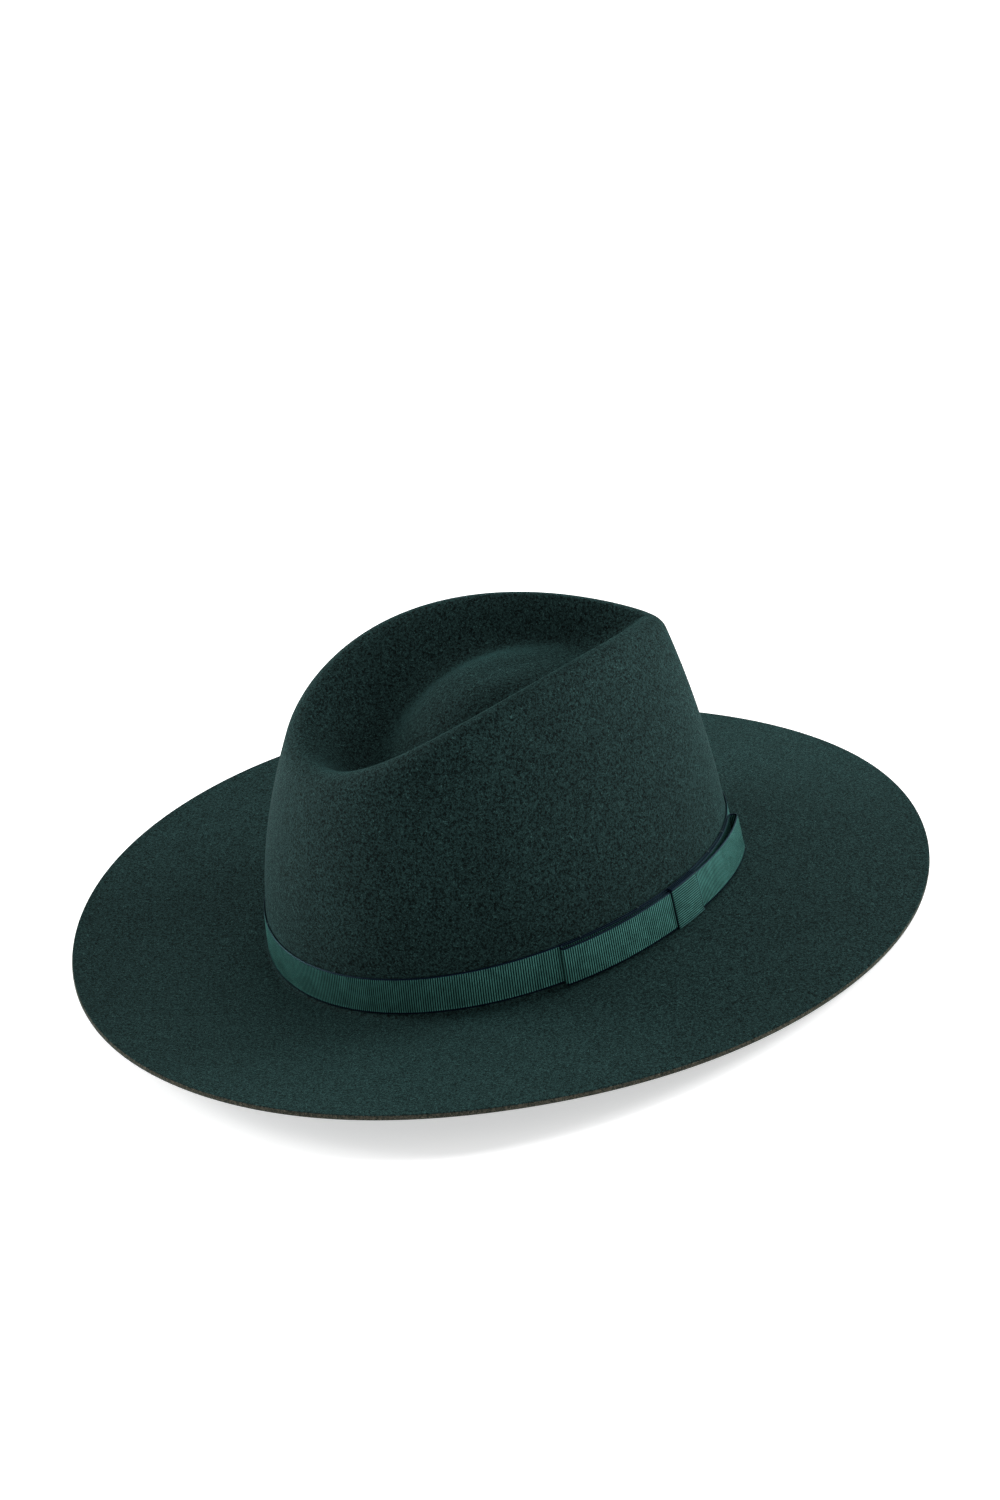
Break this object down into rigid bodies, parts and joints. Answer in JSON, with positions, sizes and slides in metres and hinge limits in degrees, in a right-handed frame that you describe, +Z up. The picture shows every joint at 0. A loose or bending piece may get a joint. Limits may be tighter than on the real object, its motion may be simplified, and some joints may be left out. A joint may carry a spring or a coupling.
{
  "type": "fedora hat",
  "caption": "Wide-brimmed wool-felt fedora with a teardrop crown, a ribbed ribbon with a flat side bow, and a stitched sweatband.",
  "frame": {"origin": "centre of the hat's bounding box, on the surface it rests on", "axes": "+Z up, -Y towards the front of the hat, +X towards the wearer's left"},
  "size_m": [0.3337, 0.3738, 0.125],
  "materials": {
    "felt": "dark green wool felt, napped",
    "ribbon": "green grosgrain, ribbed, dark edge",
    "thread": "matt sewing thread",
    "band": "smooth dark leather",
    "reed": "round plastic reed",
    "tape": "woven tape",
    "tab": "blank woven label"
  },
  "bodies": {
    "root": {"felt_body": "felt", "ribbon_band": "ribbon", "bow_loop": "ribbon", "bow_knot": "ribbon", "ribbon_tacks": "thread", "bow_tacks": "thread", "sweatband": "band", "sweatband_reed": "reed", "reed_tape": "tape", "sweatband_stitching": "thread", "sweatband_seam_tape": "tape", "sweatband_bow": "ribbon", "size_tab": "tab"}
  },
  "joints": []
}
